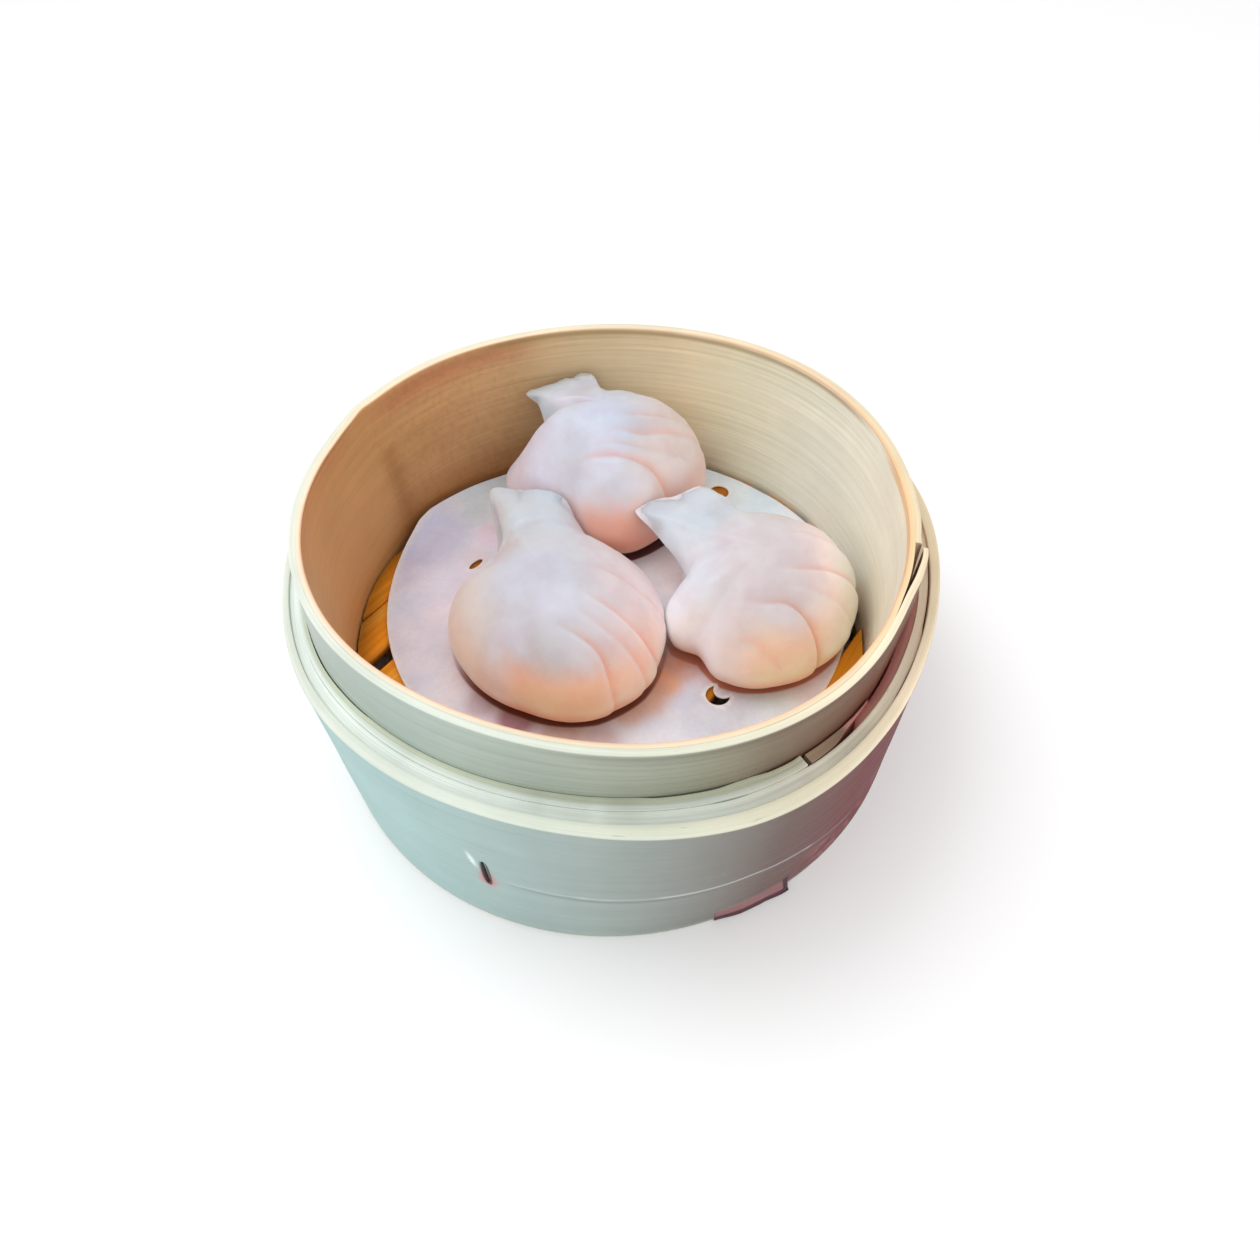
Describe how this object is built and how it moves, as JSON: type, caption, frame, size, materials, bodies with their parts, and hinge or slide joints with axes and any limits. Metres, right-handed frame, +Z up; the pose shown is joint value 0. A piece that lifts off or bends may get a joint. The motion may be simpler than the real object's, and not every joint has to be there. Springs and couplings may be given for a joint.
{
  "type": "har gow dumplings in a steamer basket",
  "caption": "Translucent pleated shrimp dumplings with pinched flaps, resting on a perforated paper round in an open bamboo steamer basket.",
  "frame": {"origin": "centre of the basket's base, on the surface that it stands on", "axes": "+Z up along the basket's axis; -Y towards the front, where the collar band's stitch slot is left of the middle; +X to the right"},
  "size_m": [0.1588, 0.1605, 0.0669],
  "materials": {
    "inner_hoop_bamboo": "bare bamboo strip, tan at the back and paler on the right, fine grain round the hoop, satin",
    "outer_hoop_bamboo": "bare pale grey-green bamboo strip with a cream cut edge, fine grain, satin",
    "coil_bamboo": "bare pale bamboo strips with cream cut edges, satin",
    "band_bamboo": "smooth bamboo skin, blue-green grey with a purple-brown side and a cream cut edge, satin",
    "dark_bamboo": "dark red-brown stained bamboo, satin",
    "slat_bamboo": "orange-brown split bamboo, lengthwise grain",
    "paper": "thin steamed baking paper, lavender white, softly creased",
    "dumpling_skin": "moist translucent starch skin, milky white going peach in the folds"
  },
  "bodies": {
    "root": {"hoop_inner": "inner_hoop_bamboo", "hoop_outer": "outer_hoop_bamboo", "collar_coil_1": "coil_bamboo", "collar_coil_2": "coil_bamboo", "coil_tail": "coil_bamboo", "collar_band": "band_bamboo", "base_strip": "dark_bamboo", "collar_pin": "dark_bamboo", "slat_01": "slat_bamboo", "slat_02": "slat_bamboo", "slat_03": "slat_bamboo", "slat_04": "slat_bamboo", "slat_05": "slat_bamboo", "slat_06": "slat_bamboo", "slat_07": "slat_bamboo", "slat_08": "slat_bamboo", "slat_09": "slat_bamboo", "crossbar_1": "slat_bamboo", "crossbar_2": "slat_bamboo", "paper_liner": "paper", "dumpling_right": "dumpling_skin", "dumpling_left": "dumpling_skin", "dumpling_back": "dumpling_skin"}
  },
  "joints": []
}
